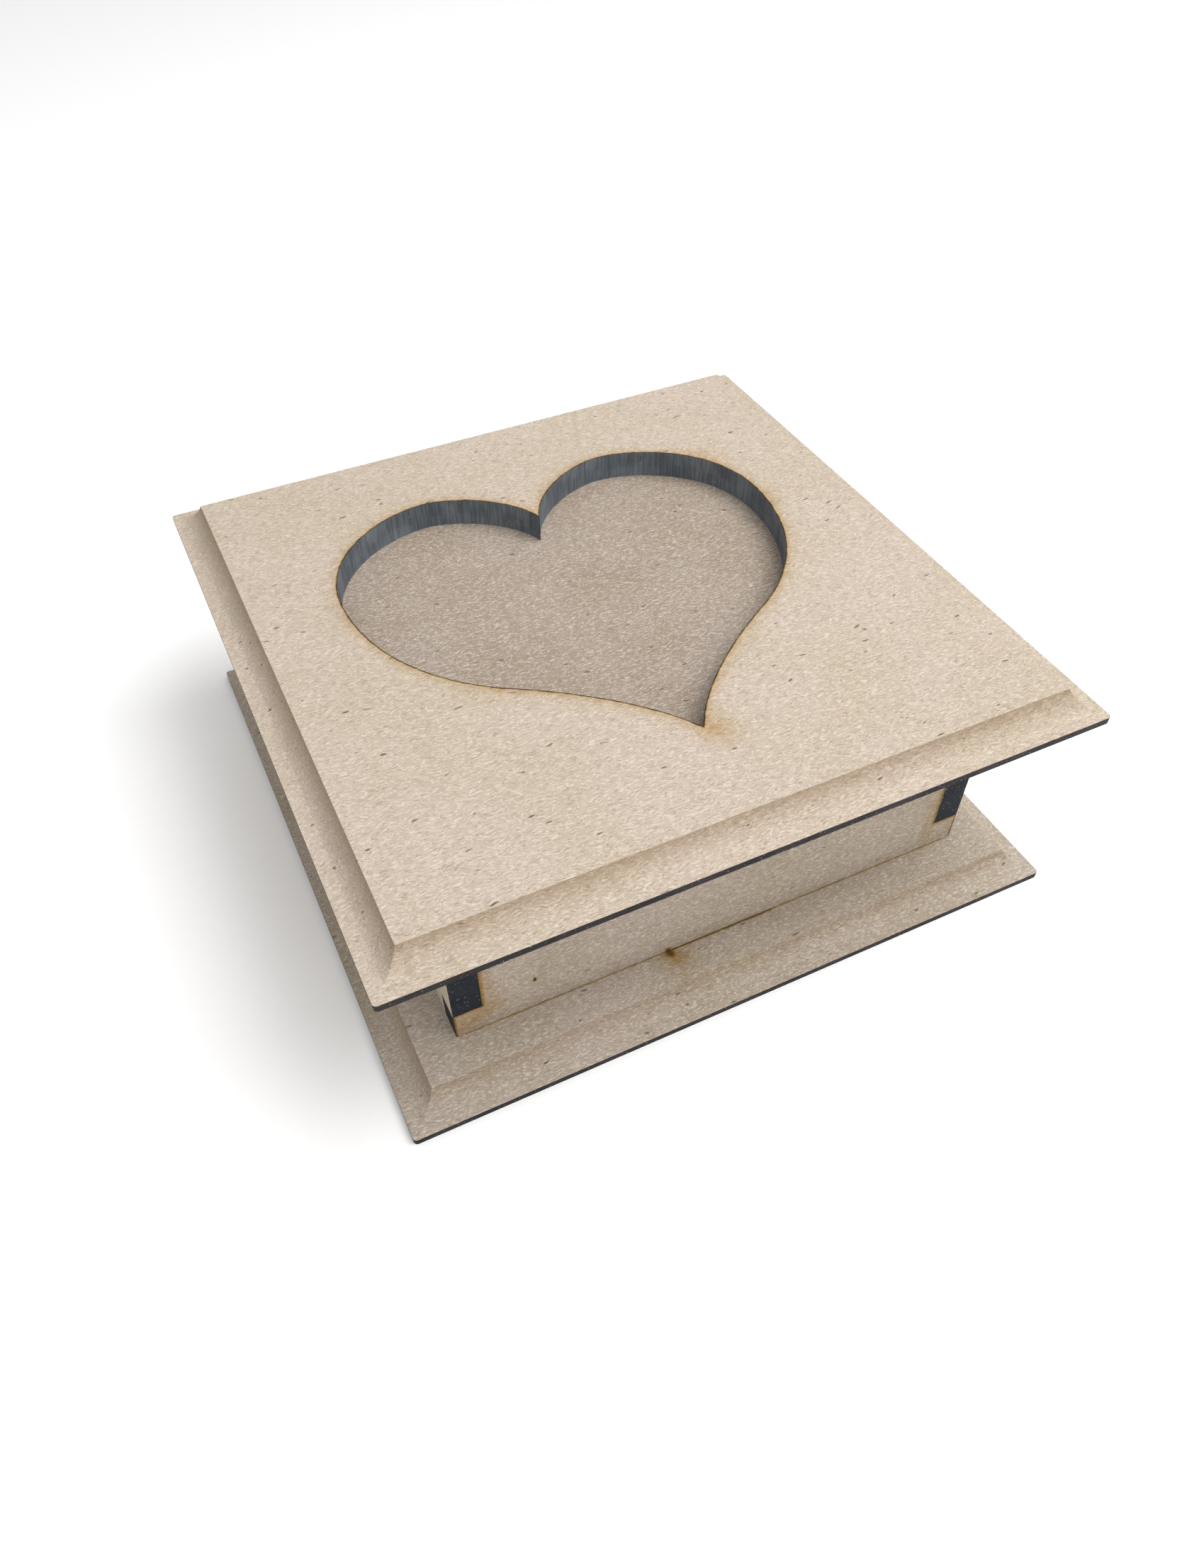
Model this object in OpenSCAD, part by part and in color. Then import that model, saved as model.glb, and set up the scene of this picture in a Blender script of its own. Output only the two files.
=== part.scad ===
// Wind-up music box: a low finger-jointed box between two coved square boards,
// with a heart cut through the lift-off lid and an eighteen-note movement on the back wall.
// +X is to the right, +Y to the back, +Z up, and the base stands on z = 0.

/* [Boards] */
// Side of the square lid and base boards
lid_w = 150; // [140:1:200]
// Thickness of every board, cut from one sheet
board_t = 6.2; // [5:0.1:8]
// Outside width and depth of the box between the boards
box_w = 120; // [96:1:130]
// Height of the four walls between the base and the lid
wall_h = 42; // [40:0.5:70]
// Width of the cove cut round the top of the lid and the base
cove_w = 6.6; // [3:0.1:9]
// Depth of the cove at the edge of the board
cove_h = 4.6; // [2:0.1:4.8]
// Radius of the upright corners of the lid and the base
corner_r = 0.8; // [0.3:0.1:3]

/* [Joinery] */
// Height of the front and back walls' end fingers
finger_h = 7.4; // [5:0.1:12]
// Width of the tab under each wall that stands in the base
tab_w = 25; // [12:0.5:40]
// Clearance round fingers and tabs
joint_gap = 0.05; // [0.02:0.01:0.2]
// Gap between the lid's locating panel and the walls
locator_gap = 0.5; // [0.3:0.1:1.5]

/* [Heart] */
// Width of the heart cut through the lid
heart_w = 100; // [60:1:110]

/* [Movement frame] */
// Length of the movement's bedplate
bed_l = 52.5; // [52.5:0.5:60]
// Height of the bedplate as it stands on the wall
bed_w = 32; // [32:0.5:34]
// Thickness of the bedplate
bed_t = 2.2; // [1.6:0.1:3]
// Offset of the winding axis and cylinder above the bedplate's middle
train_y = 4; // [3.5:0.1:4.5]
// Running clearance of every turning shaft in its bearing
run_gap = 0.04; // [0.02:0.01:0.08]

/* [Mainspring barrel] */
// Height of the barrel drum
drum_h = 5; // [4:0.1:7]
// Radius of the barrel drum
drum_r = 8.6; // [8:0.1:9]
// Radius of the winding arbor
arbor_r = 1.5; // [1:0.1:2]
// Radius of the hole for the winding arbor in the back wall
wall_hole_r = 3; // [2.5:0.1:4]

/* [Gears] */
// Teeth of the crown wheel on the barrel
crown_teeth = 26; // [24:1:28]
// Teeth of the drive pinion on the cylinder
pinion_teeth = 10; // [8:1:12]
// Module of the crown wheel and drive pinion
drive_m = 0.6; // [0.5:0.05:0.65]
// Teeth of the wheel on the cylinder's left end
wheel_teeth = 28; // [24:1:30]
// Teeth of the governor pinion
governor_teeth = 8; // [7:1:10]
// Teeth of the worm wheel
worm_teeth = 20; // [18:1:22]
// Module of the cylinder wheel, governor pinion and worm wheel
train_m = 0.5; // [0.4:0.05:0.5]
// Threads on the worm
worm_starts = 2; // [2:1:2]

/* [Comb and cylinder] */
// Notes on the comb
notes = 18; // [12:1:18]
// Pitch from one note to the next
note_pitch = 1; // [0.8:0.05:1]
// Radius of the pinned cylinder
cylinder_r = 6.5; // [5:0.1:7.9]
// Height of the pins
pin_h = 0.6; // [0.3:0.05:0.8]
// Thickness of the comb
comb_t = 1; // [0.6:0.05:1.4]
// Slot between two comb teeth
comb_slot = 0.25; // [0.15:0.01:0.4]

/* [Winding key] */
// Gap from the back wall to the key
key_gap = 0.8; // [0.5:0.1:2]
// Length of the key's hub
hub_l = 4.5; // [3:0.1:8]
// Radius of each round wing of the key
wing_r = 4.6; // [3:0.1:6]

/* [Hidden] */
$fn = 48;
half_box = box_w / 2;
wall_z0 = board_t;
wall_z1 = board_t + wall_h;
inner_half = half_box - board_t;
cove_r = (cove_w * cove_w + cove_h * cove_h) / (2 * cove_h);
eps = 0.5;

// The movement is drawn lying on its back: x along the cylinder, y up the wall,
// z away from the wall, with z = 0 on the wall's inner face.
barrel_x = 13.5;
floor_gap = 0.6;
drum_z0 = bed_t + floor_gap;
drum_wall = 0.6;
disc_t = 0.6;
tooth_h = drive_m;
crown_top = drum_z0 + drum_h;
crown_pitch_r = crown_teeth * drive_m / 2;
pinion_pitch_r = pinion_teeth * drive_m / 2;
crown_pitch_z = crown_top + disc_t + tooth_h;
train_z = crown_pitch_z + pinion_pitch_r;
crown_face = 2;
pinion_x0 = barrel_x - crown_pitch_r - crown_face / 2;

cyl_arbor_r = 0.9;
cyl_x1 = pinion_x0 - 1.8;
cyl_l = notes * note_pitch + 0.6;
cyl_x0 = cyl_x1 - cyl_l;
note_x0 = cyl_x0 + 0.3 + note_pitch / 2;
wheel_t = 1.2;
wheel_x0 = cyl_x0 - 0.6 - wheel_t;
tip_gap = 0.1;
tip_y = train_y - cylinder_r - pin_h - tip_gap;

wheel_pitch_r = wheel_teeth * train_m / 2;
governor_pitch_r = governor_teeth * train_m / 2;
worm_wheel_r = worm_teeth * train_m / 2;
worm_r = 1.2;
worm_lead = worm_starts * PI * train_m;
worm_l = 5.6;
governor_drop = 3;
governor_reach = wheel_pitch_r + governor_pitch_r;
governor_y = train_y - sqrt(pow(governor_reach, 2) - pow(governor_drop, 2));
governor_z = train_z - governor_drop;
worm_y = governor_y - worm_wheel_r - worm_r;

cage_t = 1.2;
cage_in_x = wheel_x0 - 0.8;
cage_out_x = cage_in_x - 2 * cage_t - 6.4;
cage_mid = (cage_in_x + cage_out_x) / 2;
bed_x0 = cage_out_x - 0.4;
cage_y0 = -bed_w / 2;
cage_base = 1;
cage_top = train_z + 6.6;
worm_wheel_t = 0.8;
governor_arbor_r = 0.6;
worm_shaft_r = 0.5;
collar_r = 1.1;
collar_z = cage_top - 6;
fly_r = 2.7;
fly_h = 3;
fly_z = cage_top - 4.4;
lever_y = cage_y0 + 1.5;
lever_pin_z = cage_top - 2.6;
lever_t = 0.6;
lever_l = 8.4;
pad_gap = 0.4;

bridge_z = crown_pitch_z + tooth_h + 0.8;
bridge_t = 1.2;
bridge_x0 = pinion_x0 + crown_face + 0.7;
pillar_r = 1.6;
pillar_off = (drum_r + pillar_r + 2) / sqrt(2);
pillars = [[barrel_x + pillar_off, train_y + pillar_off],
           [barrel_x + pillar_off, train_y - pillar_off],
           [barrel_x - pillar_off, train_y + pillar_off]];

comb_z0 = train_z - comb_t / 2;
comb_y0 = -bed_w / 2 + 0.5;
comb_root_y = comb_y0 + 5;
comb_x0 = note_x0 - note_pitch / 2 - 1;
comb_x1 = note_x0 + (notes - 0.5) * note_pitch + 1;
comb_screws_x = [comb_x0 + 3, (comb_x0 + comb_x1) / 2, comb_x1 - 3];
comb_screw_y = comb_y0 + 2.2;

ratchet_r = 3.9;
ratchet_z = bridge_z + bridge_t + 0.3;
ratchet_t = 1;
ratchet_teeth = 16;
click_pin = [barrel_x + 6.8, train_y + 4.4];
click_gap = 0.08;
click_angle = 60;
click_t = 0.9;
click_stud_r = 0.6;
click_spring_z = ratchet_z + click_t + 0.1;

mount_holes = [[-20, 12.4], [20.5, -12.4], [-6, -12.9]];
screw_r = 1.5;
head_r = 2.8;
head_h = 1.8;
small_screw_r = 0.9;
small_head_r = 1.6;
small_head_h = 1;

key_z = board_t + key_gap;
wing_x = wing_r + 0.6;
wing_z = key_z + hub_l + wing_r - 1;
wing_t = 1.2;

mov_x = -barrel_x;
mov_z = wall_z0 + (wall_h - board_t) / 2;

// ---------- shared shapes ----------

// Stands the movement on the inner face of the back wall.
module on_back_wall() {
    translate([mov_x, inner_half, mov_z]) rotate([90, 0, 0]) children();
}

// A cylinder along +X from the point x, y, z.
module rod_x(x, y, z, r, l) {
    translate([x, y, z]) rotate([0, 90, 0]) cylinder(r = r, h = l);
}

// A cylinder along +Z of the movement.
module rod_z(x, y, z, r, l) {
    translate([x, y, z]) cylinder(r = r, h = l);
}

// A square with round corners, drawn from whole squares and circles.
module round_square(w, r) {
    square([w - 2 * r, w], center = true);
    square([w, w - 2 * r], center = true);
    for (sx = [-1, 1], sy = [-1, 1])
        translate([sx * (w / 2 - r), sy * (w / 2 - r)]) circle(r = r);
}

// The board used for both the lid and the base: a cove runs round its top edge.
module coved_board() {
    difference() {
        linear_extrude(height = board_t) round_square(lid_w, corner_r);
        for (a = [0, 90, 180, 270])
            rotate([0, 0, a])
                translate([lid_w / 2, 0, board_t - cove_h + cove_r])
                    rotate([90, 0, 0])
                        cylinder(r = cove_r, h = lid_w + 2 * eps, center = true, $fn = 96);
    }
}

// A point on a cubic curve with four control points.
function bezier(p, t) =
    pow(1 - t, 3) * p[0] + 3 * pow(1 - t, 2) * t * p[1]
    + 3 * (1 - t) * t * t * p[2] + pow(t, 3) * p[3];

// Right half of the heart for a width of 100: cusp, lobe, side, flank and tip.
heart_curves = [
    [[0, 29.5], [3.5, 40], [16, 46], [22, 46]],
    [[22, 46], [33, 46], [50, 36.5], [50, 18]],
    [[50, 18], [50, -8], [31, -19], [28.5, -20.5]],
    [[28.5, -20.5], [26, -22], [7.5, -33], [0, -46.5]]
];
heart_steps = 14;
heart_right = [for (c = heart_curves) for (i = [0 : heart_steps - 1]) bezier(c, i / heart_steps)];
heart_left = [for (i = [len(heart_right) - 1 : -1 : 1]) [-heart_right[i][0], heart_right[i][1]]];

module heart() {
    scale([heart_w / 100, heart_w / 100])
        polygon(concat(heart_right, [[0, -46.5]], heart_left));
}

// A spur gear outline with slim straight-flanked teeth; a tooth points along +X.
function gear_point(r, a) = [r * cos(a), r * sin(a)];
function gear_outline(teeth, m) = [
    for (i = [0 : teeth - 1])
        let (mid = 360 * i / teeth, p = 360 / teeth)
            each [gear_point(teeth * m / 2 - 1.1 * m, mid - 0.27 * p),
                  gear_point(teeth * m / 2, mid - 0.19 * p),
                  gear_point(teeth * m / 2 + 0.8 * m, mid - 0.09 * p),
                  gear_point(teeth * m / 2 + 0.8 * m, mid + 0.09 * p),
                  gear_point(teeth * m / 2, mid + 0.19 * p),
                  gear_point(teeth * m / 2 - 1.1 * m, mid + 0.27 * p)]
];

// A spur gear on an axis along +X, turned so that a tooth points at angle turn from +Y.
module gear_x(x, y, z, teeth, m, t, turn) {
    translate([x, y, z])
        rotate([90, 0, 90])
            rotate([0, 0, turn])
                linear_extrude(height = t) polygon(gear_outline(teeth, m));
}

// A slotted cheese-head screw pointing down -Z, with the seat of its head at z = 0.
module slotted_screw(r, l, hr, hh) {
    difference() {
        union() {
            translate([0, 0, -l]) cylinder(r = r, h = l);
            cylinder(r = hr, h = hh);
        }
        translate([-hr - eps, -hr * 0.14, hh * 0.55]) cube([2 * hr + 2 * eps, hr * 0.28, hh]);
    }
}

// ---------- box ----------

// The slot of one wall's tab, at the front side; turned for the other sides.
module tab_slot(side_in) {
    translate([-tab_w / 2 - joint_gap, -half_box + side_in - joint_gap, -eps])
        cube([tab_w + 2 * joint_gap, board_t + 2 * joint_gap, board_t + 2 * eps]);
}

module base_board() {
    color("#c9b69a")
        difference() {
            coved_board();
            for (a = [0, 90, 180, 270])
                rotate([0, 0, a]) tab_slot(0);
        }
}

// A front or back wall, drawn at the front: full width at its end fingers,
// notched between them for the side walls.
module end_wall() {
    difference() {
        translate([-half_box, -half_box, wall_z0]) cube([box_w, board_t, wall_h]);
        for (s = [-1, 1])
            translate([s * half_box - (s > 0 ? board_t : eps), -half_box - eps, wall_z0 + finger_h])
                cube([board_t + eps, board_t + 2 * eps, wall_h - 2 * finger_h]);
    }
    translate([-tab_w / 2, -half_box, 0]) cube([tab_w, board_t, wall_z0]);
}

// A side wall, drawn at the left: it stands between the end walls, and one
// broad finger at each end reaches their outer faces.
module side_wall() {
    reach = inner_half - joint_gap;
    translate([-half_box, -reach, wall_z0]) cube([board_t, 2 * reach, wall_h]);
    translate([-half_box, -half_box, wall_z0 + finger_h + joint_gap])
        cube([board_t - joint_gap, box_w, wall_h - 2 * finger_h - 2 * joint_gap]);
    translate([-half_box, -tab_w / 2, 0]) cube([board_t, tab_w, wall_z0]);
}

module front_wall() { color("#bda98a") end_wall(); }

module back_wall() {
    color("#bda98a")
        difference() {
            rotate([0, 0, 180]) end_wall();
            on_back_wall() {
                rod_z(barrel_x, train_y, -board_t - eps, wall_hole_r, board_t + 2 * eps);
                for (p = mount_holes)
                    rod_z(p[0], p[1], -board_t - eps, screw_r + 0.1, board_t + 2 * eps);
            }
        }
}

module left_wall() { color("#b5a284") side_wall(); }

module right_wall() { color("#b5a284") mirror([1, 0, 0]) side_wall(); }

module lid_board() {
    color("#cdbb9f")
        translate([0, 0, wall_z1])
            difference() {
                coved_board();
                translate([0, 0, -eps]) linear_extrude(height = board_t + 2 * eps) heart();
            }
}

// Glued under the lid: the floor of the heart, and what centres the lid in the box.
module lid_locator() {
    side = 2 * (inner_half - locator_gap);
    color("#bfae92")
        translate([-side / 2, -side / 2, wall_z1 - board_t]) cube([side, side, board_t]);
}

// ---------- movement frame ----------

module bedplate() {
    color("#b9bbbd")
        on_back_wall()
            difference() {
                union() {
                    translate([bed_x0, -bed_w / 2, 0]) cube([bed_l, bed_w, bed_t]);
                    translate([comb_x0, comb_y0, bed_t - eps])
                        cube([comb_x1 - comb_x0, 5, comb_z0 - bed_t + eps]);
                    for (p = pillars) rod_z(p[0], p[1], bed_t - eps, pillar_r, bridge_z - bed_t + eps);
                    for (i = [0, 1]) rod_z(mount_holes[i][0], mount_holes[i][1], bed_t - eps, 3, 2.3 + eps);
                }
                rod_z(barrel_x, train_y, -eps, arbor_r + run_gap, bed_t + 2 * eps);
                for (p = mount_holes) rod_z(p[0], p[1], -eps, screw_r, 4 + eps);
                for (p = pillars) rod_z(p[0], p[1], bridge_z - 3.2, small_screw_r, 3.2 + eps);
                for (x = comb_screws_x) rod_z(x, comb_screw_y, comb_z0 - 4.2, small_screw_r, 4.2 + eps);
                for (p = cage_holes) rod_z(p[0], p[1], 0.8, small_screw_r, bed_t);
            }
}

module movement_screws() {
    color("#c8cacc")
        on_back_wall()
            for (p = mount_holes)
                translate([p[0], p[1], -board_t])
                    rotate([180, 0, 0]) slotted_screw(screw_r, board_t + 3.8, head_r, head_h);
}

module barrel_bridge() {
    px = pillars[0][0] + pillar_r + 0.4;
    py0 = pillars[1][1] - pillar_r;
    py1 = pillars[0][1] + pillar_r;
    color("#c9a45c")
        on_back_wall()
            difference() {
                union() {
                    translate([bridge_x0, py0, bridge_z]) cube([px - bridge_x0, py1 - py0, bridge_t]);
                    translate([pillars[2][0] - pillar_r, pillars[2][1] - pillar_r, bridge_z])
                        cube([bridge_x0 - pillars[2][0] + pillar_r + eps, 2 * pillar_r, bridge_t]);
                    translate([bridge_x0, train_y - 2.6, bridge_z])
                        cube([bridge_t, 5.2, train_z + 2.4 - bridge_z]);
                }
                rod_z(barrel_x, train_y, bridge_z - eps, arbor_r + run_gap, bridge_t + 2 * eps);
                rod_x(bridge_x0 - eps, train_y, train_z, cyl_arbor_r + run_gap, bridge_t + 2 * eps);
                for (p = pillars) rod_z(p[0], p[1], bridge_z - eps, small_screw_r + 0.1, bridge_t + 2 * eps);
                rod_z(click_pin[0], click_pin[1], bridge_z - eps, click_stud_r, bridge_t + 2 * eps);
            }
}

module bridge_screws() {
    color("#c8cacc")
        on_back_wall()
            for (p = pillars)
                translate([p[0], p[1], bridge_z + bridge_t])
                    slotted_screw(small_screw_r, bridge_t + 3, small_head_r, small_head_h);
}

// ---------- mainspring barrel and winding ----------

module barrel_drum() {
    color("#c7a050")
        on_back_wall()
            difference() {
                rod_z(barrel_x, train_y, drum_z0, drum_r, drum_h);
                rod_z(barrel_x, train_y, drum_z0 + drum_wall, drum_r - drum_wall, drum_h);
                rod_z(barrel_x, train_y, drum_z0 - eps, arbor_r + run_gap, drum_h);
            }
}

// The disc that closes the drum, with the crown teeth standing on its rim.
module crown_wheel() {
    r0 = crown_pitch_r - crown_face / 2;
    tooth = [[-0.36, 0], [0.36, 0], [0.22, 1.8], [-0.22, 1.8]] * drive_m * 1.25;
    color("#d2ae62")
        on_back_wall()
            translate([barrel_x, train_y, crown_top]) {
                difference() {
                    union() {
                        cylinder(r = crown_pitch_r + crown_face / 2, h = disc_t * 0.5);
                        cylinder(r = r0 - 0.2, h = disc_t);
                    }
                    translate([0, 0, -eps]) cylinder(r = arbor_r + run_gap, h = 2);
                }
                for (i = [0 : crown_teeth - 1])
                    rotate([0, 0, 180 + (i + 0.5) * 360 / crown_teeth])
                        translate([r0, 0, disc_t * 0.5])
                            rotate([90, 0, 90])
                                linear_extrude(height = crown_face) polygon(tooth);
            }
}

// A flat spring wound from the arbor's hook out to the drum's wall.
spring_turns = 5;
spring_t = 0.3;
function spring_r(t, side) = arbor_r + 0.75 + t * (drum_r - drum_wall - arbor_r - 1.3) + side;
spring_steps = spring_turns * 20;
function spring_edge(side) = [for (i = [0 : spring_steps])
    gear_point(spring_r(i / spring_steps, side), 360 * spring_turns * i / spring_steps)];
function reversed(v) = [for (i = [len(v) - 1 : -1 : 0]) v[i]];

module mainspring() {
    color("#6e7884")
        on_back_wall()
            translate([barrel_x, train_y, drum_z0 + drum_wall + 0.2])
                linear_extrude(height = drum_h - drum_wall - 0.5)
                    polygon(concat(spring_edge(spring_t), reversed(spring_edge(0))));
}

module winding_arbor() {
    color("#a9adb2")
        on_back_wall() {
            rod_z(barrel_x, train_y, -key_z - 3, arbor_r, key_z + 3 + ratchet_z + ratchet_t + 0.5);
            rod_z(barrel_x, train_y, drum_z0 + drum_wall + 0.3, arbor_r + 0.45, drum_h - drum_wall - 0.6);
        }
}

// Saw teeth that let the arbor wind one way.
module ratchet_wheel() {
    p = 360 / ratchet_teeth;
    color("#b8bcc0")
        on_back_wall()
            translate([barrel_x, train_y, ratchet_z])
                linear_extrude(height = ratchet_t)
                    difference() {
                        polygon([for (i = [0 : ratchet_teeth - 1]) each [
                            gear_point(ratchet_r, i * p),
                            gear_point(ratchet_r - 0.75, i * p + 0.06 * p),
                            gear_point(ratchet_r - 0.75, i * p + 0.2 * p)]]);
                        circle(r = arbor_r);
                    }
}

// The pawl: its tip rests at the ratchet's rim.
module click() {
    tip = [barrel_x, train_y] + gear_point(ratchet_r + click_gap, click_angle);
    back = click_pin - tip;
    along = back / norm(back);
    side = [-along[1], along[0]];
    heel = click_pin - 0.8 * along;
    color("#9aa0a6")
        on_back_wall()
            difference() {
                union() {
                    rod_z(click_pin[0], click_pin[1], ratchet_z, 1.3, click_t);
                    translate([0, 0, ratchet_z])
                        linear_extrude(height = click_t)
                            polygon([tip, tip + 0.35 * back + 1.1 * side, heel + 0.95 * side, heel - 0.9 * side]);
                }
                rod_z(click_pin[0], click_pin[1], ratchet_z - eps, click_stud_r + run_gap, click_t + 2 * eps);
            }
}

module click_stud() {
    color("#c8cacc")
        on_back_wall() {
            rod_z(click_pin[0], click_pin[1], bridge_z, click_stud_r, click_spring_z + 0.9 - bridge_z);
            rod_z(click_pin[0], click_pin[1], click_spring_z + 0.85, 1.2, 0.5);
        }
}

// A wire spring round the stud that turns the click against the ratchet; its leg rests
// on the bridge screw beside it.
module click_spring() {
    color("#7d868f")
        on_back_wall()
            translate([click_pin[0], click_pin[1], click_spring_z]) {
                rotate_extrude() translate([click_stud_r + 0.05, 0]) square([0.3, 0.6]);
                translate([0, click_stud_r + 0.1, 0.1]) cube([2.6, 0.25, 0.3]);
            }
}

module winding_key() {
    color("#d7b365")
        on_back_wall()
            translate([barrel_x, train_y, 0]) {
                difference() {
                    translate([0, 0, -key_z - hub_l]) cylinder(r = 2.7, h = hub_l);
                    translate([0, 0, -key_z - 3]) cylinder(r = arbor_r, h = 3 + eps);
                }
                difference() {
                    union() {
                        for (s = [-1, 1])
                            translate([s * wing_x, wing_t / 2, -wing_z])
                                rotate([90, 0, 0]) cylinder(r = wing_r, h = wing_t);
                        translate([-wing_x, -wing_t / 2, -wing_z - 1.7]) cube([2 * wing_x, wing_t, 3.4]);
                        translate([-2.2, -wing_t / 2, -wing_z]) cube([4.4, wing_t, wing_z - key_z - hub_l + 1]);
                    }
                    for (s = [-1, 1])
                        translate([s * (wing_x + 0.6), wing_t, -wing_z])
                            rotate([90, 0, 0]) cylinder(r = wing_r * 0.42, h = 2 * wing_t);
                }
            }
}

// ---------- comb and cylinder ----------

// The steel comb: the bass teeth at the left are the longest.
module comb() {
    color("#aab0b6")
        on_back_wall()
            difference() {
                translate([comb_x0, comb_y0, comb_z0]) cube([comb_x1 - comb_x0, tip_y - comb_y0, comb_t]);
                for (i = [0 : notes])
                    translate([note_x0 + (i - 0.5) * note_pitch - comb_slot / 2,
                               comb_root_y + 0.16 * i, comb_z0 - eps])
                        cube([comb_slot, bed_w, comb_t + 2 * eps]);
                for (s = [0, 1])
                    translate([s > 0 ? comb_x1 - 1 + comb_slot / 2 : comb_x0 - eps, comb_root_y - 0.2, comb_z0 - eps])
                        cube([1 + eps - comb_slot / 2, bed_w, comb_t + 2 * eps]);
                for (x = comb_screws_x) rod_z(x, comb_screw_y, comb_z0 - eps, small_screw_r + 0.1, comb_t + 2 * eps);
            }
}

module comb_screws() {
    color("#c8cacc")
        on_back_wall()
            for (x = comb_screws_x)
                translate([x, comb_screw_y, comb_z0 + comb_t])
                    slotted_screw(small_screw_r, comb_t + 4, small_head_r, small_head_h);
}

// Four pins to a note, at angles stepped by rule round the cylinder.
pins_per_note = 4;
function pin_angle(i, k) = 15 + 10 * ((i * 7 + k * 9 + (i * k) % 5) % 36);

module music_cylinder() {
    color("#d9b25a")
        on_back_wall()
            difference() {
                union() {
                    rod_x(cyl_x0, train_y, train_z, cylinder_r, cyl_l);
                    for (i = [0 : notes - 1], k = [0 : pins_per_note - 1])
                        translate([note_x0 + i * note_pitch, train_y, train_z])
                            rotate([pin_angle(i, k), 0, 0])
                                cylinder(r = 0.22, h = cylinder_r + pin_h, $fn = 16);
                }
                rod_x(cyl_x0 - eps, train_y, train_z, cyl_arbor_r, cyl_l + 2 * eps);
            }
}

module cylinder_arbor() {
    color("#a9adb2")
        on_back_wall()
            rod_x(cage_in_x - cage_t - 0.4, train_y, train_z, cyl_arbor_r,
                  bridge_x0 + bridge_t + 0.4 - cage_in_x + cage_t + 0.4);
}

module drive_pinion() {
    color("#c7a050")
        on_back_wall()
            difference() {
                union() {
                    gear_x(pinion_x0, train_y, train_z, pinion_teeth, drive_m, crown_face, 90);
                    rod_x(cyl_x1 + 0.2, train_y, train_z, 1.9, pinion_x0 - cyl_x1 - 0.2);
                }
                rod_x(cyl_x1, train_y, train_z, cyl_arbor_r, 10);
            }
}

// Angle, round the train's axes, of the line from the cylinder to the governor pinion.
mesh_angle = atan2(governor_z - train_z, governor_y - train_y);

module cylinder_wheel() {
    color("#d2ae62")
        on_back_wall()
            difference() {
                gear_x(wheel_x0, train_y, train_z, wheel_teeth, train_m, wheel_t, mesh_angle);
                rod_x(wheel_x0 - eps, train_y, train_z, cyl_arbor_r, wheel_t + 2 * eps);
            }
}

// ---------- governor ----------

cage_holes = [[cage_mid, 5], [cage_mid, cage_y0 + 2]];

// A U-shaped frame with a bar across its top, standing on the bedplate's left end.
module governor_cage() {
    plate_y1 = train_y + 3;
    bar_w = 5;
    color("#b4b7ba")
        on_back_wall()
            difference() {
                union() {
                    translate([cage_out_x, cage_y0, bed_t])
                        cube([cage_in_x - cage_out_x, plate_y1 - cage_y0, cage_base]);
                    for (x = [cage_out_x, cage_in_x - cage_t]) {
                        translate([x, cage_y0, bed_t])
                            cube([cage_t, plate_y1 - cage_y0, train_z + 2.6 - bed_t]);
                        translate([x, cage_y0, bed_t])
                            cube([cage_t, worm_y + bar_w / 2 - cage_y0, cage_top - bed_t]);
                    }
                    translate([cage_out_x, worm_y - bar_w / 2 + 1.6, cage_top - 1])
                        cube([cage_in_x - cage_out_x, bar_w - 1.6, 1]);
                }
                rod_x(cage_in_x - cage_t - eps, train_y, train_z, cyl_arbor_r + run_gap, cage_t + 2 * eps);
                rod_x(cage_out_x - eps, governor_y, governor_z, governor_arbor_r + run_gap,
                      cage_in_x - cage_out_x + 2 * eps);
                rod_x(cage_out_x - eps, lever_y, lever_pin_z, 0.5, cage_in_x - cage_out_x + 2 * eps);
                rod_z(cage_mid, worm_y, bed_t - eps, worm_shaft_r + run_gap, cage_base + 2 * eps);
                rod_z(cage_mid, worm_y, cage_top - 1 - eps, worm_shaft_r + run_gap, 1 + 2 * eps);
                for (p = cage_holes) rod_z(p[0], p[1], bed_t - eps, small_screw_r + 0.1, cage_base + 2 * eps);
            }
}

module cage_screws() {
    color("#c8cacc")
        on_back_wall()
            for (p = cage_holes)
                translate([p[0], p[1], bed_t + cage_base])
                    slotted_screw(small_screw_r, cage_base + 1.2, small_head_r, small_head_h);
}

// The governor's pinion and its arbor, cut from one bar.
module governor_pinion() {
    color("#b8bcc0")
        on_back_wall() {
            gear_x(wheel_x0 - 0.2, governor_y, governor_z, governor_teeth, train_m, wheel_t + 0.4,
                   mesh_angle + 180 + 180 / governor_teeth);
            rod_x(cage_out_x + 0.2, governor_y, governor_z, governor_arbor_r,
                  wheel_x0 + wheel_t + 0.2 - cage_out_x - 0.2);
        }
}

module worm_wheel() {
    color("#d2ae62")
        on_back_wall()
            difference() {
                union() {
                    gear_x(cage_mid - worm_wheel_t / 2, governor_y, governor_z, worm_teeth, train_m,
                           worm_wheel_t, 180);
                    rod_x(cage_mid - 1, governor_y, governor_z, 1.5, 2);
                }
                rod_x(cage_mid - 2, governor_y, governor_z, governor_arbor_r, 4);
            }
}

// Half of the worm's section: a round core and one thread; the other half repeats it.
worm_lobe = [[0.75, -0.36], [1.35, -0.24], [1.35, 0.24], [0.75, 0.36], [0.35, 0.66], [-0.35, 0.66]];
worm_section = concat(worm_lobe, [for (p = worm_lobe) -p]);

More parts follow.
